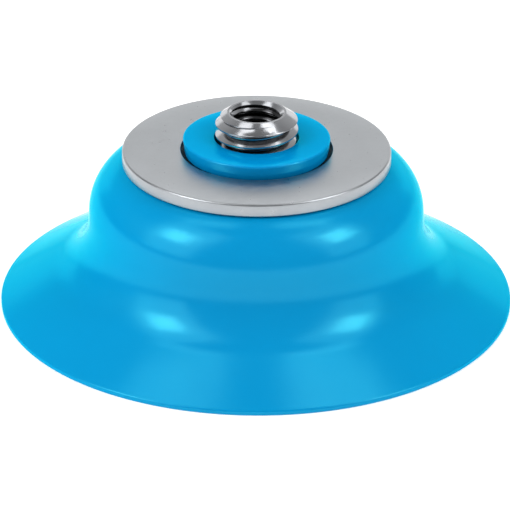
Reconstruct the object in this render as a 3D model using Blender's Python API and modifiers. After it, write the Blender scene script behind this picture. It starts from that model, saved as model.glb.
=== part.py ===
"""Vacuum suction cup: a soft bell with a flared lip, clamped on a hollow threaded sleeve.

Frame: metres, +Z up along the cup's axis, origin at the centre of the lip's contact plane.
Every sub-part is its own closed mesh. Touching pieces keep a small clearance.
"""
import math

import bmesh
import bpy

MM = 0.001
CLEARANCE = 0.3 * MM

# Heights of the clamped stack above the lip plane
DISC_TOP = 23.75 * MM
DISC_THICKNESS = 1.9 * MM
SEAT_DEPTH = 1.1 * MM
RING_TOP = 25.6 * MM
SLEEVE_TOP = 29.55 * MM
SLEEVE_BOTTOM = 9.7 * MM
FLANGE_THICKNESS = 0.6 * MM
CROWN_THICKNESS = 2.7 * MM
PLATE_THICKNESS = 1.4 * MM
WASHER_THICKNESS = 2.0 * MM
NUT_THICKNESS = 4.5 * MM

# Radii of the clamped stack
DISC_RADIUS = 19.55 * MM
SEAT_RADIUS = 11.05 * MM
RING_RADIUS = 10.75 * MM
FLANGE_RADIUS = 9.8 * MM
SHANK_RADIUS = 5.4 * MM
HOLE_RADIUS = 5.7 * MM
BORE_RADIUS = 3.32 * MM
BORE_MOUTH_RADIUS = 3.8 * MM
RIM_RADIUS = 4.15 * MM
PLATE_RADIUS = 15.0 * MM
WASHER_RADIUS = 9.4 * MM
NUT_ACROSS_FLATS = 17.0 * MM

# M12 x 1.75 thread on the sleeve, with a 30 degree chamfer at its top
THREAD_RADIUS = 6.0 * MM
THREAD_PITCH = 1.75 * MM
THREAD_DEPTH = 1.07 * MM
THREAD_HALF_ANGLE = math.radians(30.0)
THREAD_ROOT_WIDTH = 0.2 * MM
THREAD_BOTTOM = 24.3 * MM
CHAMFER_DROP = 1.08 * MM
UNDERCUT_RADIUS = 5.05 * MM
UNDERCUT_TOP = 24.6 * MM

# Outline of the soft cup: shoulder arc, drafted wall, flare arc, conical brim
SHOULDER_CENTRE = (16.47 * MM, 14.11 * MM)
SHOULDER_RADIUS = 8.04 * MM
WALL_DRAFT = math.radians(3.25)
FLARE_CENTRE = (34.36 * MM, 13.39 * MM)
FLARE_RADIUS = 9.79 * MM
BRIM_SLOPE = math.radians(27.4)
LIP_RADIUS = 37.65 * MM
LIP_TOP = 0.65 * MM
LIP_CONTACT_WIDTH = 0.9 * MM
LIP_ROUNDING = 0.18 * MM
WALL_THICKNESS = 2.55 * MM
BRIM_THICKNESS = 2.2 * MM

# Cleats moulded inside the bell, which stop the workpiece from being drawn in
CLEAT_COUNT = 8
CLEAT_WIDTH = 2.0 * MM
CLEAT_INNER_TOP = 17.3 * MM
CLEAT_INNER_BOTTOM = 20.5 * MM
CLEAT_BOTTOM = 6.4 * MM

CUP_STEPS = 64
DISC_STEPS = 48
SMALL_STEPS = 40
THREAD_STEPS = 24
SHARP_ANGLE = math.radians(30.0)
MERGE_DISTANCE = 0.01 * MM
SMALL_CHAMFER = 0.25 * MM

BLUE = (0.010, 0.255, 0.580)
RING_BLUE = (0.012, 0.300, 0.640)
DISC_GREY = (0.420, 0.440, 0.455)
STUD_GREY = (0.560, 0.570, 0.580)
INNER_GREY = (0.380, 0.390, 0.400)

CROWN_TOP = DISC_TOP - DISC_THICKNESS - CLEARANCE
CROWN_BOTTOM = CROWN_TOP - CROWN_THICKNESS


def clear_scene():
    for old in list(bpy.data.objects):
        bpy.data.objects.remove(old, do_unlink=True)


def new_collection(name):
    collection = bpy.data.collections.new(name)
    bpy.context.scene.collection.children.link(collection)
    return collection


def make_material(name, colour, roughness, metallic):
    material = bpy.data.materials.new(name)
    material.use_nodes = True
    shader = material.node_tree.nodes["Principled BSDF"]
    shader.inputs["Base Color"].default_value = (*colour, 1.0)
    shader.inputs["Roughness"].default_value = roughness
    shader.inputs["Metallic"].default_value = metallic
    return material


def arc(centre, radius, start, end, count):
    """Points (r, z) along an arc, with angles in radians from +r towards +z."""
    angles = [start + (end - start) * i / (count - 1) for i in range(count)]
    return [(centre[0] + radius * math.cos(a), centre[1] + radius * math.sin(a)) for a in angles]


def place(obj, collection, material=None):
    collection.objects.link(obj)
    if material is not None:
        obj.data.materials.append(material)
    return obj


def turned(name, outline, steps, collection, material=None):
    """A turned ring: the closed outline (r, z) swept once round Z by a Screw modifier.

    The outline runs outwards over the top, down the outer side and back up the hole.
    """
    mesh = bpy.data.meshes.new(name)
    edges = [(i, (i + 1) % len(outline)) for i in range(len(outline))]
    mesh.from_pydata([(r, 0.0, z) for r, z in outline], edges, [])
    obj = place(bpy.data.objects.new(name, mesh), collection, material)
    screw = obj.modifiers.new("Turn", "SCREW")
    screw.axis = "Z"
    screw.steps = steps
    screw.render_steps = steps
    screw.use_merge_vertices = True
    screw.merge_threshold = MERGE_DISTANCE
    screw.use_smooth_shade = False
    return obj


def spun(name, section, angle, rise, steps, collection, material=None):
    """A closed bar: the section (r, z) swept round Z by an angle while it climbs by rise."""
    bm = bmesh.new()
    verts = [bm.verts.new((r, 0.0, z)) for r, z in section]
    edges = [bm.edges.new((verts[i], verts[(i + 1) % len(verts)])) for i in range(len(verts))]
    bmesh.ops.spin(bm, geom=verts + edges, cent=(0, 0, 0), axis=(0, 0, 1),
                   dvec=(0, 0, rise / steps), angle=angle, steps=steps)
    bmesh.ops.holes_fill(bm, edges=bm.edges, sides=len(section))
    bmesh.ops.recalc_face_normals(bm, faces=bm.faces)
    mesh = bpy.data.meshes.new(name)
    bm.to_mesh(mesh)
    bm.free()
    return place(bpy.data.objects.new(name, mesh), collection, material)


def boolean(obj, tool, operation):
    tool.hide_render = True
    tool.display_type = "WIRE"
    modifier = obj.modifiers.new(operation.title(), "BOOLEAN")
    modifier.operation = operation
    modifier.solver = "EXACT"
    modifier.object = tool


def chamfered_ring(inner, outer, bottom, top, chamfer):
    """Outline of a flat ring whose two outer corners are chamfered."""
    return [
        (inner, top),
        (outer - chamfer, top),
        (outer, top - chamfer),
        (outer, bottom + chamfer),
        (outer - chamfer, bottom),
        (inner, bottom),
    ]


def cup_outline():
    """Closed outline of the moulded cup, from the crown's hole round the lip and back."""
    crown_angle = math.asin((CROWN_TOP - SHOULDER_CENTRE[1]) / SHOULDER_RADIUS)
    flare_start = math.pi + WALL_DRAFT
    flare_end = 1.5 * math.pi - BRIM_SLOPE
    brim_angle = math.pi / 2 - BRIM_SLOPE
    outer = arc(SHOULDER_CENTRE, SHOULDER_RADIUS, crown_angle, WALL_DRAFT, 8)
    outer += arc(FLARE_CENTRE, FLARE_RADIUS, flare_start, flare_end, 6)

    inner_top = math.asin((CROWN_BOTTOM - SHOULDER_CENTRE[1]) / (SHOULDER_RADIUS - WALL_THICKNESS))
    inner = arc(SHOULDER_CENTRE, SHOULDER_RADIUS - WALL_THICKNESS, inner_top, WALL_DRAFT, 6)
    inner += arc(FLARE_CENTRE, FLARE_RADIUS + WALL_THICKNESS, flare_start, flare_end, 6)
    brim_base = (outer[-1][0] - BRIM_THICKNESS * math.cos(brim_angle),
                 outer[-1][1] - BRIM_THICKNESS * math.sin(brim_angle))
    inner[-1] = brim_base

    lip = [
        (LIP_RADIUS - LIP_ROUNDING, LIP_TOP),
        (LIP_RADIUS, LIP_TOP - LIP_ROUNDING),
        (LIP_RADIUS, LIP_ROUNDING),
        (LIP_RADIUS - LIP_ROUNDING, 0.0),
        (LIP_RADIUS - LIP_ROUNDING - LIP_CONTACT_WIDTH, 0.0),
    ]
    crown = [(HOLE_RADIUS, CROWN_BOTTOM), (HOLE_RADIUS, CROWN_TOP)]
    return outer + lip + inner[::-1] + crown


def make_cleats(collection):
    """Radial fins under the crown, which sink into the bell's wall."""
    wall_middle = SHOULDER_CENTRE[0] + SHOULDER_RADIUS - WALL_THICKNESS / 2
    crown_middle = (CROWN_TOP + CROWN_BOTTOM) / 2
    side = [
        (CLEAT_INNER_TOP, crown_middle),
        (CLEAT_INNER_TOP, CROWN_BOTTOM - 2.0 * MM),
        (CLEAT_INNER_BOTTOM, CLEAT_BOTTOM),
        (wall_middle + 2.2 * MM, CLEAT_BOTTOM),
        (wall_middle, CLEAT_BOTTOM + 4.6 * MM),
        (wall_middle, SHOULDER_CENTRE[1]),
        (wall_middle - 2.6 * MM, crown_middle - 1.6 * MM),
    ]
    bm = bmesh.new()
    for index in range(CLEAT_COUNT):
        turn = 2 * math.pi * (index + 0.5) / CLEAT_COUNT
        along = (math.cos(turn), math.sin(turn))
        face = bm.faces.new([bm.verts.new((r * along[0] + CLEAT_WIDTH / 2 * along[1],
                                           r * along[1] - CLEAT_WIDTH / 2 * along[0], z))
                             for r, z in side])
        swept = bmesh.ops.extrude_face_region(bm, geom=[face])["geom"]
        moved = [item for item in swept if isinstance(item, bmesh.types.BMVert)]
        bmesh.ops.translate(bm, verts=moved, vec=(-CLEAT_WIDTH * along[1], CLEAT_WIDTH * along[0], 0))
    bmesh.ops.recalc_face_normals(bm, faces=bm.faces)
    mesh = bpy.data.meshes.new("cleats")
    bm.to_mesh(mesh)
    bm.free()
    return place(bpy.data.objects.new("cleats", mesh), collection)


def make_suction_cup(parts, tools):
    material = make_material("cup_polyurethane", BLUE, 0.38, 0.0)
    cup = turned("suction_cup", cup_outline(), CUP_STEPS, parts, material)
    boolean(cup, make_cleats(tools), "UNION")


def make_support_disc(parts):
    """Steel disc on the crown, with a shallow seat for the sleeve's flange and the ring."""
    seat = DISC_TOP - SEAT_DEPTH
    bottom = DISC_TOP - DISC_THICKNESS
    outline = [
        (SEAT_RADIUS, DISC_TOP),
        (DISC_RADIUS - SMALL_CHAMFER, DISC_TOP),
        (DISC_RADIUS, DISC_TOP - SMALL_CHAMFER),
        (DISC_RADIUS, bottom + SMALL_CHAMFER),
        (DISC_RADIUS - SMALL_CHAMFER, bottom),
        (HOLE_RADIUS, bottom),
        (HOLE_RADIUS, seat),
        (SEAT_RADIUS, seat),
    ]
    turned("support_disc", outline, DISC_STEPS, parts, make_material("disc_steel", DISC_GREY, 0.32, 1.0))


def make_sealing_ring(parts):
    """Soft ring round the stud, standing proud of the disc."""
    bottom = DISC_TOP - SEAT_DEPTH + FLANGE_THICKNESS + 2 * CLEARANCE
    inner = THREAD_RADIUS + CLEARANCE
    outline = chamfered_ring(inner, RING_RADIUS, bottom, RING_TOP, SMALL_CHAMFER)
    turned("sealing_ring", outline, DISC_STEPS, parts,
           make_material("ring_polyurethane", RING_BLUE, 0.45, 0.0))


def make_threaded_sleeve(parts, tools):
    """Hollow stud: a coarse thread above its flange, a plain shank through the stack below it."""
    flange_bottom = DISC_TOP - SEAT_DEPTH + CLEARANCE
    flange_top = flange_bottom + FLANGE_THICKNESS
    mouth = BORE_MOUTH_RADIUS - BORE_RADIUS
    outline = [
        (BORE_MOUTH_RADIUS, SLEEVE_TOP),
        (RIM_RADIUS, SLEEVE_TOP),
        (THREAD_RADIUS, SLEEVE_TOP - CHAMFER_DROP),
        (THREAD_RADIUS, UNDERCUT_TOP),
        (UNDERCUT_RADIUS, UNDERCUT_TOP - (THREAD_RADIUS - UNDERCUT_RADIUS) / 2),
        (UNDERCUT_RADIUS, flange_top),
        (FLANGE_RADIUS, flange_top),
        (FLANGE_RADIUS, flange_bottom),
        (SHANK_RADIUS, flange_bottom),
        (SHANK_RADIUS, SLEEVE_BOTTOM + mouth),
        (SHANK_RADIUS - mouth, SLEEVE_BOTTOM),
        (BORE_MOUTH_RADIUS, SLEEVE_BOTTOM),
        (BORE_RADIUS, SLEEVE_BOTTOM + mouth),
        (BORE_RADIUS, SLEEVE_TOP - mouth),
    ]
    sleeve = turned("threaded_sleeve", outline, SMALL_STEPS, parts,
                    make_material("sleeve_steel", STUD_GREY, 0.16, 1.0))

    root = THREAD_RADIUS - THREAD_DEPTH
    outside = THREAD_RADIUS + CLEARANCE
    half_root = THREAD_ROOT_WIDTH / 2
    half_mouth = half_root + THREAD_DEPTH * math.tan(THREAD_HALF_ANGLE)
    section = [(root, -half_root), (root, half_root), (THREAD_RADIUS, half_mouth),
               (outside, half_mouth), (outside, -half_mouth), (THREAD_RADIUS, -half_mouth)]
    section = [(r, z + THREAD_BOTTOM) for r, z in section]
    turns = math.ceil((SLEEVE_TOP + half_mouth - THREAD_BOTTOM) / THREAD_PITCH)
    groove = spun("thread_groove", section, 2 * math.pi * turns, THREAD_PITCH * turns,
                  THREAD_STEPS * turns, tools)
    boolean(sleeve, groove, "DIFFERENCE")


def make_clamp_plate(parts, top):
    """Steel plate that presses the crown up against the disc."""
    outline = chamfered_ring(HOLE_RADIUS, PLATE_RADIUS, top - PLATE_THICKNESS, top, 2 * SMALL_CHAMFER)
    turned("clamp_plate", outline, SMALL_STEPS, parts, make_material("plate_steel", INNER_GREY, 0.35, 1.0))


def make_lock_washer(parts, top):
    """Split spring washer, nearly flat because the nut is tight."""
    gap = math.radians(9.0)
    rise = CLEARANCE / 2
    bottom = top - WASHER_THICKNESS
    section = [(HOLE_RADIUS, top - rise), (WASHER_RADIUS, top - rise),
               (WASHER_RADIUS, bottom), (HOLE_RADIUS, bottom)]
    spun("lock_washer", section, 2 * math.pi - gap, rise, SMALL_STEPS, parts,
         make_material("washer_steel", INNER_GREY, 0.4, 1.0))


def make_lock_nut(parts, tools, top):
    """Thin hexagon nut: a chamfered round blank cut to six flats."""
    corner = NUT_ACROSS_FLATS / math.sqrt(3)
    bottom = top - NUT_THICKNESS
    land = NUT_ACROSS_FLATS / 2 - SMALL_CHAMFER
    drop = (corner - land) * math.tan(math.radians(30.0))
    outline = [(HOLE_RADIUS, top), (land, top), (corner, top - drop),
               (corner, bottom + drop), (land, bottom), (HOLE_RADIUS, bottom)]
    nut = turned("lock_nut", outline, SMALL_STEPS, parts, make_material("nut_steel", INNER_GREY, 0.3, 1.0))

    hexagon = bmesh.new()
    bmesh.ops.create_cone(hexagon, cap_ends=True, segments=6, radius1=corner, radius2=corner,
                          depth=2 * NUT_THICKNESS)
    bmesh.ops.translate(hexagon, verts=hexagon.verts, vec=(0, 0, (top + bottom) / 2))
    mesh = bpy.data.meshes.new("nut_hexagon")
    hexagon.to_mesh(mesh)
    hexagon.free()
    boolean(nut, place(bpy.data.objects.new("nut_hexagon", mesh), tools), "INTERSECT")


def main():
    clear_scene()
    parts = new_collection("vacuum_suction_cup")
    tools = new_collection("cutters")
    make_suction_cup(parts, tools)
    make_support_disc(parts)
    make_sealing_ring(parts)
    make_threaded_sleeve(parts, tools)
    plate_top = CROWN_BOTTOM - CLEARANCE
    washer_top = plate_top - PLATE_THICKNESS - CLEARANCE
    nut_top = washer_top - WASHER_THICKNESS - CLEARANCE
    make_clamp_plate(parts, plate_top)
    make_lock_washer(parts, washer_top)
    make_lock_nut(parts, tools, nut_top)
    bpy.context.view_layer.update()
    for obj in parts.objects:
        obj.data.set_sharp_from_angle(angle=SHARP_ANGLE)


main()
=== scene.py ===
# %% [markdown]
# # A vacuum suction cup
# A soft blue bell is clamped between a steel disc and an inner plate. A hollow threaded sleeve holds the
# stack together and carries the air. This lesson rebuilds each piece as it is made on the bench: turned
# parts from a profile, threads by cutting a helical groove, the bell from one moulded section. Everything
# is in metres, +Z up, with the origin at the centre of the plane that the lip stands on.

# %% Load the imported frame
import math

import bmesh
import bpy
from mathutils import Matrix, Vector


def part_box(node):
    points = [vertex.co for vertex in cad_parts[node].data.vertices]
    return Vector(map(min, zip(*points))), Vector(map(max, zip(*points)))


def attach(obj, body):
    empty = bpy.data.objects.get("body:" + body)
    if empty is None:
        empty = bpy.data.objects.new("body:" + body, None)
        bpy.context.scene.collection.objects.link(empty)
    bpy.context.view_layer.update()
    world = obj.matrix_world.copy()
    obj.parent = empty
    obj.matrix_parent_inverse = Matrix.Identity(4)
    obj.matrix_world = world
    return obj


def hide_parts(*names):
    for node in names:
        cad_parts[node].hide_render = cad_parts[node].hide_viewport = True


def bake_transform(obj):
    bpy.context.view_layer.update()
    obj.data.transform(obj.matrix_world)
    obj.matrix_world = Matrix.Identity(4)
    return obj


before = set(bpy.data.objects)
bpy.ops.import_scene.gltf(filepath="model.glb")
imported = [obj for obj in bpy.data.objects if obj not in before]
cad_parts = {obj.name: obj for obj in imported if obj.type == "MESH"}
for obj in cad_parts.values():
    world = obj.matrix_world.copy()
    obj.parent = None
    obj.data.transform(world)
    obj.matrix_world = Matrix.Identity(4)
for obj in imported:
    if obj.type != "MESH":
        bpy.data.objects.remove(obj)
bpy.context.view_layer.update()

MM = 0.001
print("nodes:", ", ".join(sorted(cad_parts)))

# %% [markdown]
# ## Heights and radii from the frame
# The frame already says how big each piece is. Reading the sizes from its boxes keeps the looks and the
# working model together: if a plate gets thicker there, it gets thicker here.

# %% Read sizes from the frame
def size_of(node):
    """Radius, bottom and top of a node, in metres."""
    low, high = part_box(node)
    return (high.x - low.x) / 2, low.z, high.z


lip_radius, lip_bottom, _ = size_of("suction_cup")
disc_radius, disc_bottom, disc_top = size_of("support_disc")
ring_radius, _, ring_top = size_of("sealing_ring")
flange_radius, sleeve_bottom, sleeve_top = size_of("threaded_sleeve")
plate_radius, plate_bottom, plate_top = size_of("clamp_plate")
washer_radius, washer_bottom, washer_top = size_of("lock_washer")
nut_across_flats, nut_bottom, nut_top = size_of("lock_nut")
print(f"lip radius {lip_radius / MM:.1f} mm, disc top at {disc_top / MM:.1f} mm")
print(f"sleeve top at {sleeve_top / MM:.1f} mm")

# %% [markdown]
# ## Camera
# The lens is long, about 250 mm on a full-frame sensor, so the ellipses of the rims stay nearly alike. The
# camera stands half a metre away and looks down 27 degrees. It aims a little above the lip plane.

# %% Make the camera
VIEW_DISTANCE = 521.3 * MM
VIEW_ELEVATION = math.radians(26.54)
VIEW_ROLL = math.radians(0.29)
LENS = 248.3
AIM_UP = 5.84 * MM
AIM_SIDE = -0.16 * MM


def make_camera():
    """A camera that looks along +Y and down, aimed just above the middle of the lip plane."""
    camera = bpy.data.objects.new("camera", bpy.data.cameras.new("camera"))
    bpy.context.scene.collection.objects.link(camera)
    back = Vector((0, -math.cos(VIEW_ELEVATION), math.sin(VIEW_ELEVATION)))
    camera.location = back * VIEW_DISTANCE
    up = Vector((0, math.sin(VIEW_ELEVATION), math.cos(VIEW_ELEVATION)))
    aim = up * AIM_UP + Vector((AIM_SIDE, 0, 0))
    turn = (aim - camera.location).to_track_quat("-Z", "Y").to_matrix().to_4x4()
    camera.rotation_euler = (turn @ Matrix.Rotation(VIEW_ROLL, 4, "Z")).to_euler()
    camera.data.lens = LENS
    camera.data.sensor_width = 36
    camera.data.clip_start = 10 * MM
    bpy.context.scene.camera = camera
    return camera


camera = make_camera()
print("camera at", [round(value, 3) for value in camera.location])

# %% [markdown]
# ## Light and floor
# Small metal parts look like metal only when they have something to reflect. A square soft box with a
# brighter core stands at each side in front. Two long ones behind light the rear of the brim, and two side
# fills lift its flanks without a highlight of their own. The room is dim in front, so that the stud keeps
# dark bands between the bright ones. The floor is plain and white, and fades into the background.

# %% Make the light
CUP_MIDDLE = Vector((0, 0, 15 * MM))


def soft_box(name, azimuth, elevation, distance, width, height, power):
    """A rectangular area light that faces the cup. Azimuth 0 is in front, 90 to the right."""
    light = bpy.data.lights.new(name, "AREA")
    light.shape = "RECTANGLE"
    light.size = width
    light.size_y = height
    light.energy = power
    box = bpy.data.objects.new(name, light)
    bpy.context.scene.collection.objects.link(box)
    side, up = math.radians(azimuth), math.radians(elevation)
    way = Vector((math.sin(side) * math.cos(up), -math.cos(side) * math.cos(up), math.sin(up)))
    box.location = CUP_MIDDLE + way * distance
    box.rotation_euler = (-way).to_track_quat("-Z", "Y").to_euler()
    box.visible_camera = False
    return box


def soft_box_pair(side, azimuth, width, power, core_power):
    """A big square soft box with a brighter core, as a lamp behind cloth gives."""
    soft_box(side + "_box", azimuth, 36, 0.60, width, 0.66, power)
    soft_box(side + "_core", azimuth + math.copysign(2, azimuth), 40, 0.59, 0.18, 0.20, core_power)


def make_room(dim, bright):
    """A surround that is dim in front and bright towards the back, near the horizon."""
    world = bpy.data.worlds.new("room")
    world.use_nodes = True
    tree = world.node_tree
    look = tree.nodes.new("ShaderNodeTexCoord").outputs["Generated"]
    towards = tree.nodes.new("ShaderNodeVectorMath")
    towards.operation = "DOT_PRODUCT"
    towards.inputs[1].default_value = Vector((0, 0.94, 0.34))
    tree.links.new(look, towards.inputs[0])
    fade = tree.nodes.new("ShaderNodeMapRange")
    fade.interpolation_type = "SMOOTHERSTEP"
    fade.inputs["From Min"].default_value = 0.2
    fade.inputs["From Max"].default_value = 0.95
    fade.inputs["To Min"].default_value = dim
    fade.inputs["To Max"].default_value = bright
    tree.links.new(towards.outputs["Value"], fade.inputs["Value"])
    tree.links.new(fade.outputs[0], tree.nodes["Background"].inputs["Strength"])
    tree.nodes["Background"].inputs["Color"].default_value = (1.0, 1.0, 1.0, 1.0)
    bpy.context.scene.world = world


soft_box_pair("left", -62, 0.40, 1.50, 0.78)
soft_box_pair("right", 66, 0.36, 1.05, 0.74)
soft_box("side_left", -98, 22, 0.60, 0.40, 0.30, 1.00).visible_glossy = False
soft_box("side_right", 98, 22, 0.60, 0.40, 0.30, 0.50).visible_glossy = False
soft_box("top_left", -100, 72, 0.60, 0.14, 0.22, 0.20)
soft_box("top_right", 100, 72, 0.60, 0.14, 0.22, 0.24)
soft_box("back_low", 180, 10, 0.90, 1.60, 0.30, 1.10)
soft_box("back_high", 180, 42, 0.80, 0.60, 0.30, 0.60)
make_room(0.30, 0.64)
bpy.context.scene.view_settings.view_transform = "Standard"

# %% [markdown]
# The floor is a white sheet just under the lip. A face seen from behind is made clear, so that the inside of
# the bell can be looked at from below. The sheet glows a little, which keeps it white at its far edge.

# %% Lay the floor
def make_floor():
    """A white sheet that is clear from below, so the inside of the bell can be seen too."""
    mesh = bpy.data.meshes.new("floor")
    reach = 4.0
    corners = [(-reach, -reach, 0), (reach, -reach, 0), (reach, reach, 0), (-reach, reach, 0)]
    mesh.from_pydata(corners, [], [(0, 1, 2, 3)])
    floor = bpy.data.objects.new("floor", mesh)
    bpy.context.scene.collection.objects.link(floor)
    floor.location.z = -0.05 * MM
    paper = bpy.data.materials.new("white_paper")
    paper.use_nodes = True
    shader = paper.node_tree.nodes["Principled BSDF"]
    shader.inputs["Base Color"].default_value = (0.92, 0.92, 0.92, 1.0)
    shader.inputs["Roughness"].default_value = 0.9
    shader.inputs["Emission Color"].default_value = (1.0, 1.0, 1.0, 1.0)
    shader.inputs["Emission Strength"].default_value = 0.30
    nodes, links = paper.node_tree.nodes, paper.node_tree.links
    see_through = nodes.new("ShaderNodeMixShader")
    links.new(nodes.new("ShaderNodeNewGeometry").outputs["Backfacing"], see_through.inputs["Fac"])
    links.new(shader.outputs[0], see_through.inputs[1])
    links.new(nodes.new("ShaderNodeBsdfTransparent").outputs[0], see_through.inputs[2])
    links.new(see_through.outputs[0], nodes["Material Output"].inputs["Surface"])
    mesh.materials.append(paper)
    return floor


floor = make_floor()
print("floor at", round(floor.location.z / MM, 2), "mm")

# %% [markdown]
# ## Turned shapes
# Disc, ring, plate, sleeve and bell are all round, so each one is a flat outline swept once about Z by a
# Screw modifier. An outline is a short list of corners, and every corner says how round it is. Real edges
# are never sharp: a tumbled steel edge has about 0.1 mm, and that small radius is what catches the light.
# The outline runs outwards over the top, down the outer side and back up the hole, so the faces point out.

# %% Round the corners of an outline
def filleted(corners, segments=4):
    """Closed outline (r, z) from corners (r, z, rounding)."""
    outline = []
    for index, (r, z, rounding) in enumerate(corners):
        here = Vector((r, z))
        before = (Vector(corners[index - 1][:2]) - here).normalized()
        after = (Vector(corners[(index + 1) % len(corners)][:2]) - here).normalized()
        half = before.angle(after) / 2
        if rounding == 0 or half > math.radians(89.5):
            outline.append((r, z))
            continue
        centre = here + (before + after).normalized() * (rounding / math.sin(half))
        first = here + before * (rounding / math.tan(half)) - centre
        last = here + after * (rounding / math.tan(half)) - centre
        start = math.atan2(first.y, first.x)
        sweep = (math.atan2(last.y, last.x) - start + math.pi) % (2 * math.pi) - math.pi
        for step in range(segments + 1):
            angle = start + sweep * step / segments
            outline.append((centre.x + rounding * math.cos(angle), centre.y + rounding * math.sin(angle)))
    return outline


def turned(name, outline, steps=160):
    """A closed outline swept once round Z. The Screw modifier stays live."""
    mesh = bpy.data.meshes.new(name)
    edges = [(index, (index + 1) % len(outline)) for index in range(len(outline))]
    mesh.from_pydata([(r, 0.0, z) for r, z in outline], edges, [])
    piece = bpy.data.objects.new(name, mesh)
    bpy.context.scene.collection.objects.link(piece)
    screw = piece.modifiers.new("Turn", "SCREW")
    screw.axis = "Z"
    screw.steps = steps
    screw.render_steps = steps
    screw.use_merge_vertices = True
    screw.merge_threshold = 0.002 * MM
    screw.use_smooth_shade = True
    return piece


def apply_stack(piece):
    """Bakes a piece's modifiers into its mesh."""
    depsgraph = bpy.context.evaluated_depsgraph_get()
    final = bpy.data.meshes.new_from_object(piece.evaluated_get(depsgraph))
    piece.modifiers.clear()
    piece.data = final
    return piece


def cut_with(piece, tool, operation):
    """Joins or cuts a piece with a tool, and removes the tool."""
    cut = piece.modifiers.new(operation.title(), "BOOLEAN")
    cut.operation = operation
    cut.solver = "EXACT"
    cut.object = tool
    apply_stack(piece)
    bpy.data.objects.remove(tool)
    return piece


def smooth_edges(piece, degrees=40):
    """Smooth shading that stays crisp over edges sharper than the angle."""
    piece.data.shade_smooth()
    piece.data.set_sharp_from_angle(angle=math.radians(degrees))
    return piece


# %% [markdown]
# ## Threads
# A thread is what is left when a pointed tool cuts a helical groove into a round blank. So the groove is
# built as a body: its small section climbs one pitch for each turn of a Screw modifier, its two open ends
# are filled, and a Boolean takes it away. The start and run-out then look right by themselves, because
# the groove cuts through the chamfer just as the tool does.

# %% Build a helical body
def helix(name, section, pitch, turns, steps, start_degrees=0.0):
    """A closed bar: a section (r, z) that climbs round Z, right-handed."""
    mesh = bpy.data.meshes.new(name)
    edges = [(index, (index + 1) % len(section)) for index in range(len(section))]
    mesh.from_pydata([(r, 0.0, z) for r, z in section], edges, [])
    bar = bpy.data.objects.new(name, mesh)
    bpy.context.scene.collection.objects.link(bar)
    screw = bar.modifiers.new("Climb", "SCREW")
    screw.axis = "Z"
    screw.screw_offset = pitch
    screw.iterations = turns
    screw.steps = steps
    screw.render_steps = steps
    apply_stack(bar)
    shape = bmesh.new()
    shape.from_mesh(bar.data)
    bmesh.ops.holes_fill(shape, edges=shape.edges, sides=0)
    bmesh.ops.recalc_face_normals(shape, faces=shape.faces)
    bmesh.ops.rotate(shape, verts=shape.verts, matrix=Matrix.Rotation(math.radians(start_degrees), 3, "Z"))
    shape.to_mesh(bar.data)
    shape.free()
    return bar


def groove_section(crest, root, pitch, half_angle, root_flat, crest_flat, reach):
    """Section of a thread groove with a rounded root and a softened crest."""
    deepest = root_flat / 2
    at_crest = deepest + abs(crest - root) * math.tan(half_angle)
    widest = (pitch - crest_flat) / 2
    out = 1 if crest > root else -1
    depth = abs(crest - root)
    side = [(0.0, deepest * 0.55), (0.06 * depth, deepest), (0.84 * depth, 0.84 * at_crest + 0.16 * deepest),
            (0.95 * depth, (at_crest + widest) / 2), (depth, widest), (depth + reach, widest)]
    upper = [(root + out * deep, half) for deep, half in side]
    lower = [(r, -half) for r, half in reversed(upper)]
    return upper + lower


# %% [markdown]
# ## Materials
# Every finish is built from nodes, so it has detail at any distance. A few helpers keep them short: one
# starts a material, one adds noise that reads Object coordinates, one turns noise into a gentle ramp and
# one feeds a bump. Numbers that are the same all over a surface sit on the shader itself.

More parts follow.
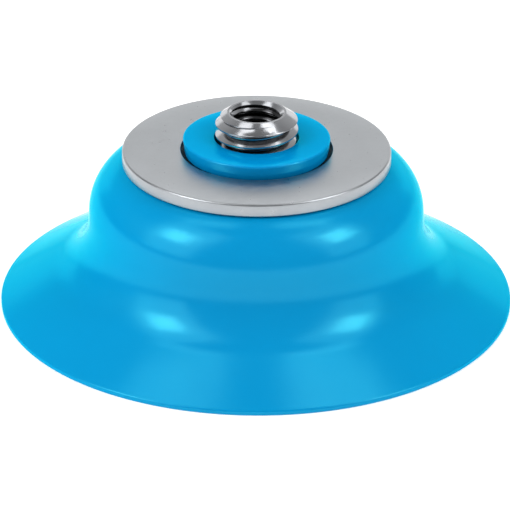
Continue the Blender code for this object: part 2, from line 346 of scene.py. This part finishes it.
# %% Helpers for node materials
class Finish:
    """A Principled material with helpers that add and join nodes."""

    def __init__(self, name, colour, roughness, metallic=0.0, **sockets):
        self.material = bpy.data.materials.new(name)
        self.material.use_nodes = True
        self.tree = self.material.node_tree
        self.shader = self.tree.nodes["Principled BSDF"]
        self.place = self.add("ShaderNodeTexCoord").outputs["Object"]
        self.set("Base Color", (*colour, 1.0))
        self.set("Roughness", roughness)
        self.set("Metallic", metallic)
        for socket, value in sockets.items():
            self.set(socket.replace("_", " "), value)

    def add(self, kind, **settings):
        node = self.tree.nodes.new(kind)
        for key, value in settings.items():
            setattr(node, key, value)
        return node

    def set(self, socket, value):
        self.shader.inputs[socket].default_value = value

    def join(self, source, target):
        self.tree.links.new(source, target)
        return target

    def drive(self, source, socket):
        return self.join(source, self.shader.inputs[socket])

    def noise(self, scale, detail=3.0, roughness=0.5, coordinates=None):
        node = self.add("ShaderNodeTexNoise")
        node.inputs["Scale"].default_value = scale
        node.inputs["Detail"].default_value = detail
        node.inputs["Roughness"].default_value = roughness
        self.join(coordinates or self.place, node.inputs["Vector"])
        return node.outputs["Fac"]

    def ramp(self, source, low, high, low_in=0.3, high_in=0.7):
        """Maps a grey value to a colour or a number between low and high."""
        node = self.add("ShaderNodeValToRGB")
        colours = [value if isinstance(value, tuple) else (value,) * 3 for value in (low, high)]
        for stop, position, colour in zip(node.color_ramp.elements, (low_in, high_in), colours):
            stop.position = position
            stop.color = (*colour, 1.0)
        self.join(source, node.inputs["Fac"])
        return node.outputs["Color"]

    def math(self, operation, first, second):
        node = self.add("ShaderNodeMath", operation=operation)
        for socket, value in zip(node.inputs, (first, second)):
            if isinstance(value, float):
                socket.default_value = value
            else:
                self.join(value, socket)
        return node.outputs[0]

    def radius(self):
        """Distance from the Z axis, for marks that run round a turned part."""
        flat = self.add("ShaderNodeVectorMath", operation="MULTIPLY")
        flat.inputs[1].default_value = (1, 1, 0)
        self.join(self.place, flat.inputs[0])
        length = self.add("ShaderNodeVectorMath", operation="LENGTH")
        self.join(flat.outputs[0], length.inputs[0])
        return length.outputs["Value"]

    def height(self):
        split = self.add("ShaderNodeSeparateXYZ")
        self.join(self.place, split.inputs[0])
        return split.outputs["Z"]

    def bump(self, source, depth, strength=1.0):
        node = self.add("ShaderNodeBump")
        node.inputs["Strength"].default_value = strength
        node.inputs["Distance"].default_value = depth
        self.join(source, node.inputs["Height"])
        self.drive(node.outputs["Normal"], "Normal")


# %% [markdown]
# ## Moulded blue polyurethane
# The bell is cast in a polished mould, so its skin is smooth but soft. Under the shine the colour drifts a
# little where the resin flowed, and the skin has a very fine grain. The resin is tinted through, and light
# that grazes the skin comes back cyan, so a clear coat with almost no reflection of its own tints the shine.

# %% Blue polyurethane
def blue_polyurethane(name, colour, deep):
    finish = Finish(name, colour, 0.20, IOR=1.5, Specular_IOR_Level=0.72, Coat_Weight=1.0, Coat_IOR=1.02,
                    Coat_Tint=(0.18, 1.0, 1.0, 1.0))
    flow = finish.noise(45.0, 4.0, 0.55)
    finish.drive(finish.ramp(flow, deep, colour), "Base Color")
    grain = finish.noise(5200.0, 2.0, 0.6)
    finish.drive(finish.ramp(finish.noise(160.0, 3.0), 0.17, 0.23), "Roughness")
    finish.bump(grain, 0.012 * MM, 0.5)
    return finish.material


bell_blue = blue_polyurethane("bell_polyurethane", (0.0020, 0.250, 0.535), (0.0015, 0.232, 0.505))
ring_blue = blue_polyurethane("ring_polyurethane", (0.0020, 0.250, 0.580), (0.0015, 0.234, 0.550))

# %% [markdown]
# ## Steel
# The disc is zinc-plated sheet: a grey satin with a soft blotchy grain. The sleeve is turned and plated
# bright, with fine rings from the lathe. Its bore and the undersides of its threads get painted shade: their
# base colour is darkened to stand in for the shade there. Both are full metals, and their roughness does the
# talking.

# %% Steel finishes
def plated_sheet(name, colour, roughness):
    finish = Finish(name, colour, roughness, metallic=1.0)
    cloud = finish.noise(120.0, 5.0, 0.6)
    finish.drive(finish.ramp(cloud, tuple(c * 0.93 for c in colour), colour), "Base Color")
    finish.drive(finish.ramp(finish.noise(900.0, 4.0, 0.7), roughness - 0.05, roughness + 0.06), "Roughness")
    finish.bump(finish.noise(3500.0, 3.0, 0.6), 0.003 * MM, 0.5)
    return finish.material


def bright_turned(name, colour, roughness):
    finish = Finish(name, colour, roughness, metallic=1.0)
    rings = finish.add("ShaderNodeCombineXYZ")
    finish.join(finish.radius(), rings.inputs[0])
    finish.join(finish.height(), rings.inputs[1])
    marks = finish.noise(5000.0, 2.0, 0.6, rings.outputs[0])
    finish.drive(finish.ramp(finish.noise(300.0, 3.0), roughness - 0.04, roughness + 0.08), "Roughness")
    finish.bump(marks, 0.0015 * MM, 0.5)
    return finish


# Painted shade: the bore and the faces that look down get a darker base colour in place of real shade.
PAINTED_SHADE_FACTOR = 0.16
LOOKS_DOWN = -0.2


def paint_thread_shade(finish, colour, radius, mouth):
    """Paints shade into the base colour of the bore and of every face that looks down."""
    inside = finish.math("LESS_THAN", finish.radius(), radius)
    deep = finish.math("LESS_THAN", finish.height(), mouth)
    split = finish.add("ShaderNodeSeparateXYZ")
    finish.join(finish.add("ShaderNodeNewGeometry").outputs["True Normal"], split.inputs[0])
    under = finish.math("LESS_THAN", split.outputs["Z"], LOOKS_DOWN)
    where = finish.math("MAXIMUM", finish.math("MULTIPLY", inside, deep), under)
    dark = tuple(c * PAINTED_SHADE_FACTOR for c in colour)
    finish.drive(finish.ramp(where, colour, dark, 0.0, 1.0), "Base Color")


disc_steel = plated_sheet("disc_steel", (0.370, 0.388, 0.406), 0.32)
SLEEVE_GREY = (0.40, 0.41, 0.43)
# Painted shade reaches the bore inside this radius and below this height.
PAINTED_SHADE_RADIUS = 4.15 * MM
PAINTED_SHADE_BELOW = sleeve_top - 1.1 * MM
sleeve_finish = bright_turned("sleeve_steel", SLEEVE_GREY, 0.15)
paint_thread_shade(sleeve_finish, SLEEVE_GREY, PAINTED_SHADE_RADIUS, PAINTED_SHADE_BELOW)
sleeve_steel = sleeve_finish.material
inner_steel = plated_sheet("inner_steel", (0.52, 0.53, 0.55), 0.36)
nut_steel = bright_turned("nut_steel", (0.56, 0.57, 0.58), 0.24).material
print("finishes:", ", ".join(sorted(item.name for item in bpy.data.materials)))


def finish_piece(piece, material, body, node):
    """Gives a piece its material and its body, and hides the frame's node that it stands for."""
    piece.data.materials.clear()
    piece.data.materials.append(material)
    if body is not None:
        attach(piece, body)
    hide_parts(node)
    return piece


# %% [markdown]
# ## The bell
# In section the bell is four plain curves that run into each other: a round shoulder, a nearly upright
# wall with a little draft so that it leaves the mould, a hollow flare and a straight conical brim. The
# inside follows the outside at the wall's thickness and thins towards the lip, which has to bend.

# %% Draw the bell's section
SHOULDER_CENTRE = Vector((16.47, 14.11)) * MM
SHOULDER_RADIUS = 8.04 * MM
WALL_DRAFT = math.radians(3.25)
FLARE_CENTRE = Vector((34.36, 13.39)) * MM
FLARE_RADIUS = 9.79 * MM
BRIM_SLOPE = math.radians(27.4)
WALL_THICKNESS = 2.55 * MM
CROWN_THICKNESS = 2.7 * MM
BRIM_THICKNESS = 2.2 * MM
LIP_HEIGHT = 0.65 * MM
LIP_CONTACT = 0.9 * MM
HOLE_RADIUS = 5.7 * MM
TOUCH = 0.02 * MM


def arc(centre, radius, start, end, count):
    angles = [start + (end - start) * index / (count - 1) for index in range(count)]
    return [(centre[0] + radius * math.cos(a), centre[1] + radius * math.sin(a)) for a in angles]


def bell_outline():
    crown_top = disc_bottom - TOUCH
    crown_bottom = crown_top - CROWN_THICKNESS
    flare = (math.pi + WALL_DRAFT, 1.5 * math.pi - BRIM_SLOPE)
    top_angle = math.asin((crown_top - SHOULDER_CENTRE.y) / SHOULDER_RADIUS)
    outer = arc(SHOULDER_CENTRE, SHOULDER_RADIUS, top_angle, WALL_DRAFT, 24)
    outer += arc(FLARE_CENTRE, FLARE_RADIUS, *flare, 24)
    inner_radius = SHOULDER_RADIUS - WALL_THICKNESS
    inner_angle = math.asin((crown_bottom - SHOULDER_CENTRE.y) / inner_radius)
    inner = arc(SHOULDER_CENTRE, inner_radius, inner_angle, WALL_DRAFT, 16)
    inner += arc(FLARE_CENTRE, FLARE_RADIUS + WALL_THICKNESS, *flare, 16)
    lean = math.pi / 2 - BRIM_SLOPE
    brim_r, brim_z = outer[-1]
    inner[-1] = (brim_r - BRIM_THICKNESS * math.cos(lean), brim_z - BRIM_THICKNESS * math.sin(lean))
    lip_corners = [
        (*outer[-1], 0.0),
        (lip_radius, LIP_HEIGHT, 0.36 * MM),
        (lip_radius, lip_bottom, 0.14 * MM),
        (lip_radius - LIP_CONTACT, lip_bottom, 0.3 * MM),
        (*inner[-1], 0.0),
    ]
    lip = filleted(lip_corners, 5)[1:-1]
    crown = [(HOLE_RADIUS, crown_bottom), (HOLE_RADIUS, crown_top)]
    return outer + lip + inner[::-1] + crown


# %% [markdown]
# Eight cleats are moulded inside the bell. They keep a thin sheet from being sucked up into it. Each one
# is a plate with its free edges rounded by a Bevel, sunk into the wall and joined to it by a Boolean.

# %% Make the bell
CLEAT_COUNT = 8
CLEAT_WIDTH = 2.0 * MM
CLEAT_INNER_TOP = 17.3 * MM
CLEAT_INNER_BOTTOM = 20.5 * MM
CLEAT_BOTTOM = 6.4 * MM


def make_cleat(turn):
    """One radial fin, its free edges rounded."""
    wall = SHOULDER_CENTRE.x + SHOULDER_RADIUS - WALL_THICKNESS / 2
    crown = disc_bottom - CROWN_THICKNESS / 2
    side = [
        (CLEAT_INNER_TOP, crown),
        (CLEAT_INNER_TOP, crown - 3.35 * MM),
        (CLEAT_INNER_BOTTOM, CLEAT_BOTTOM),
        (wall + 2.2 * MM, CLEAT_BOTTOM),
        (wall, CLEAT_BOTTOM + 4.6 * MM),
        (wall, SHOULDER_CENTRE.y),
        (wall - 2.6 * MM, crown - 1.6 * MM),
    ]
    mesh = bpy.data.meshes.new("cleat")
    mesh.from_pydata([(r, 0.0, z) for r, z in side], [], [tuple(range(len(side)))])
    cleat = bpy.data.objects.new("cleat", mesh)
    bpy.context.scene.collection.objects.link(cleat)
    thick = cleat.modifiers.new("Thickness", "SOLIDIFY")
    thick.thickness = CLEAT_WIDTH
    thick.offset = 0.0
    edge = cleat.modifiers.new("Round", "BEVEL")
    edge.width = 0.5 * MM
    edge.segments = 3
    apply_stack(cleat)
    cleat.data.transform(Matrix.Rotation(turn, 4, "Z"))
    return cleat


def make_bell():
    bell = apply_stack(turned("soft_bell", bell_outline(), 192))
    for index in range(CLEAT_COUNT):
        cut_with(bell, make_cleat(2 * math.pi * (index + 0.5) / CLEAT_COUNT), "UNION")
    smooth_edges(bell, 50)
    finish_piece(bell, bell_blue, None, "suction_cup")
    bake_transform(bell)
    return bell


bell = make_bell()
print("bell faces:", len(bell.data.polygons))

# %% [markdown]
# ## Disc, ring and plate
# These three are plain turned or punched parts. What tells them apart is the edge: the disc is punched
# from sheet, so its upper corner is rolled over by the punch. The ring is soft, so all its edges are round,
# and its side leans in a little towards the disc.

# %% Make the disc, the ring and the plate
SEAT_RADIUS = 11.05 * MM
SEAT_DEPTH = 1.1 * MM
FLANGE_THICKNESS = 0.6 * MM
FLANGE_GAP = 0.05 * MM


def make_disc():
    seat = disc_top - SEAT_DEPTH
    corners = [
        (SEAT_RADIUS, disc_top, 0.12 * MM),
        (disc_radius, disc_top, 0.30 * MM),
        (disc_radius, disc_bottom, 0.18 * MM),
        (HOLE_RADIUS, disc_bottom, 0.1 * MM),
        (HOLE_RADIUS, seat, 0.0),
        (SEAT_RADIUS, seat, 0.0),
    ]
    disc = turned("steel_disc", filleted(corners, 5), 192)
    return finish_piece(disc, disc_steel, "fitting", "support_disc")


def make_ring(thread_radius):
    bottom = disc_top - SEAT_DEPTH + FLANGE_GAP + FLANGE_THICKNESS + TOUCH
    corners = [
        (thread_radius + 0.12 * MM, ring_top, 0.15 * MM),
        (ring_radius, ring_top, 0.30 * MM),
        (ring_radius - 0.3 * MM, bottom, 0.15 * MM),
        (thread_radius + 0.12 * MM, bottom, 0.1 * MM),
    ]
    ring = turned("soft_ring", filleted(corners, 5), 160)
    return finish_piece(ring, ring_blue, "fitting", "sealing_ring")


def make_plate():
    corners = [
        (HOLE_RADIUS, plate_top, 0.1 * MM),
        (plate_radius, plate_top, 0.35 * MM),
        (plate_radius, plate_bottom, 0.35 * MM),
        (HOLE_RADIUS, plate_bottom, 0.15 * MM),
    ]
    plate = turned("inner_plate", filleted(corners), 144)
    return finish_piece(plate, inner_steel, "fitting", "clamp_plate")


# %% [markdown]
# ## The threaded sleeve
# The sleeve is turned from bar. It has a coarse thread above its flange, a fine thread for the nut below,
# and a third thread in the bore. The blank is turned first with all its chamfers, and then three grooves are
# cut: two from outside and one from inside.

# %% Make the sleeve
STUD_RADIUS = 6.0 * MM
STUD_PITCH = 1.75 * MM
STUD_DEPTH = 1.07 * MM
STUD_THREAD_BOTTOM = 24.19 * MM
BORE_RADIUS = 3.32 * MM
BORE_PITCH = 1.25 * MM
BORE_DEPTH = 0.67 * MM
MOUTH_RADIUS = 3.98 * MM
RIM_RADIUS = 4.28 * MM
CHAMFER_DROP = 1.20 * MM
SHANK_RADIUS = 5.4 * MM
SHANK_PITCH = 1.0 * MM
SHANK_DEPTH = 0.6 * MM
UNDERCUT_RADIUS = 5.05 * MM
UNDERCUT_TOP = 24.6 * MM


def sleeve_blank():
    flange_bottom = disc_top - SEAT_DEPTH + FLANGE_GAP
    flange_top = flange_bottom + FLANGE_THICKNESS
    mouth = MOUTH_RADIUS - BORE_RADIUS
    corners = [
        (MOUTH_RADIUS, sleeve_top, 0.06 * MM),
        (RIM_RADIUS, sleeve_top, 0.08 * MM),
        (STUD_RADIUS, sleeve_top - CHAMFER_DROP, 0.1 * MM),
        (STUD_RADIUS, UNDERCUT_TOP, 0.0),
        (UNDERCUT_RADIUS, UNDERCUT_TOP - 0.5 * MM, 0.0),
        (UNDERCUT_RADIUS, flange_top, 0.0),
        (flange_radius, flange_top, 0.1 * MM),
        (flange_radius, flange_bottom, 0.1 * MM),
        (SHANK_RADIUS, flange_bottom, 0.0),
        (SHANK_RADIUS, sleeve_bottom + 0.7 * MM, 0.1 * MM),
        (SHANK_RADIUS - 0.7 * MM, sleeve_bottom, 0.08 * MM),
        (MOUTH_RADIUS, sleeve_bottom, 0.06 * MM),
        (BORE_RADIUS, sleeve_bottom + mouth, 0.0),
        (BORE_RADIUS, sleeve_top - mouth, 0.0),
    ]
    return apply_stack(turned("steel_sleeve", filleted(corners, 3), 144))


def make_sleeve():
    sleeve = sleeve_blank()
    stud = groove_section(STUD_RADIUS, STUD_RADIUS - STUD_DEPTH, STUD_PITCH, math.radians(30.0),
                          0.2 * MM, 0.2 * MM, 0.4 * MM)
    stud = [(r, z + STUD_THREAD_BOTTOM) for r, z in stud]
    cut_with(sleeve, helix("stud_groove", stud, STUD_PITCH, 4, 72), "DIFFERENCE")
    bore = groove_section(BORE_RADIUS, BORE_RADIUS + BORE_DEPTH, BORE_PITCH, math.radians(30.0),
                          0.16 * MM, 0.12 * MM, 0.4 * MM)
    turns = math.ceil((sleeve_top - sleeve_bottom) / BORE_PITCH) + 2
    bore = [(r, z + sleeve_bottom - BORE_PITCH) for r, z in bore]
    cut_with(sleeve, helix("bore_groove", bore, BORE_PITCH, turns, 48), "DIFFERENCE")
    shank = groove_section(SHANK_RADIUS, SHANK_RADIUS - SHANK_DEPTH, SHANK_PITCH, math.radians(30.0),
                           0.13 * MM, 0.12 * MM, 0.4 * MM)
    shank = [(r, z + sleeve_bottom - SHANK_PITCH) for r, z in shank]
    cut_with(sleeve, helix("shank_groove", shank, SHANK_PITCH, 9, 60), "DIFFERENCE")
    smooth_edges(sleeve, 35)
    return finish_piece(sleeve, sleeve_steel, "fitting", "threaded_sleeve")


make_disc()
make_ring(STUD_RADIUS)
make_plate()
sleeve = make_sleeve()
print("sleeve faces:", len(sleeve.data.polygons))

# %% [markdown]
# ## Washer and nut
# The spring washer is a bar of square wire, coiled once and cut. Tight under the nut it is almost flat.
# The nut is a round blank with 30 degree chamfers, cut to a hexagon: that is why the chamfers leave a
# curved line on each flat.

# %% Make the washer and the nut
def make_washer():
    gap_degrees = 8.0
    steps = 96
    climb = 0.15 * MM
    section = filleted([
        (HOLE_RADIUS, washer_top - climb, 0.15 * MM),
        (washer_radius, washer_top - climb, 0.15 * MM),
        (washer_radius, washer_bottom, 0.15 * MM),
        (HOLE_RADIUS, washer_bottom, 0.15 * MM),
    ], 3)
    mesh = bpy.data.meshes.new("spring_washer")
    shape = bmesh.new()
    verts = [shape.verts.new((r, 0.0, z)) for r, z in section]
    edges = [shape.edges.new((verts[i], verts[(i + 1) % len(verts)])) for i in range(len(verts))]
    bmesh.ops.spin(shape, geom=verts + edges, cent=(0, 0, 0), axis=(0, 0, 1), dvec=(0, 0, climb / steps),
                   angle=math.radians(360.0 - gap_degrees), steps=steps)
    bmesh.ops.holes_fill(shape, edges=shape.edges, sides=0)
    bmesh.ops.recalc_face_normals(shape, faces=shape.faces)
    shape.to_mesh(mesh)
    shape.free()
    washer = bpy.data.objects.new("spring_washer", mesh)
    bpy.context.scene.collection.objects.link(washer)
    smooth_edges(washer, 40)
    return finish_piece(washer, inner_steel, "fitting", "lock_washer")


def make_nut():
    flats = nut_across_flats
    corner = flats / math.cos(math.radians(30.0))
    land = flats - 0.25 * MM
    drop = (corner - land) * math.tan(math.radians(30.0))
    outline = filleted([
        (HOLE_RADIUS, nut_top, 0.0),
        (land, nut_top, 0.1 * MM),
        (corner, nut_top - drop, 0.0),
        (corner, nut_bottom + drop, 0.0),
        (land, nut_bottom, 0.1 * MM),
        (HOLE_RADIUS, nut_bottom, 0.0),
    ], 3)
    nut = apply_stack(turned("hex_nut", outline, 144))
    bpy.ops.mesh.primitive_cylinder_add(vertices=6, radius=corner, depth=0.02,
                                        location=(0, 0, (nut_top + nut_bottom) / 2))
    hexagon = bpy.context.object
    cut_with(nut, hexagon, "INTERSECT")
    smooth_edges(nut, 25)
    return finish_piece(nut, nut_steel, "fitting", "lock_nut")


washer = make_washer()
nut = make_nut()
print("washer faces:", len(washer.data.polygons), "nut faces:", len(nut.data.polygons))
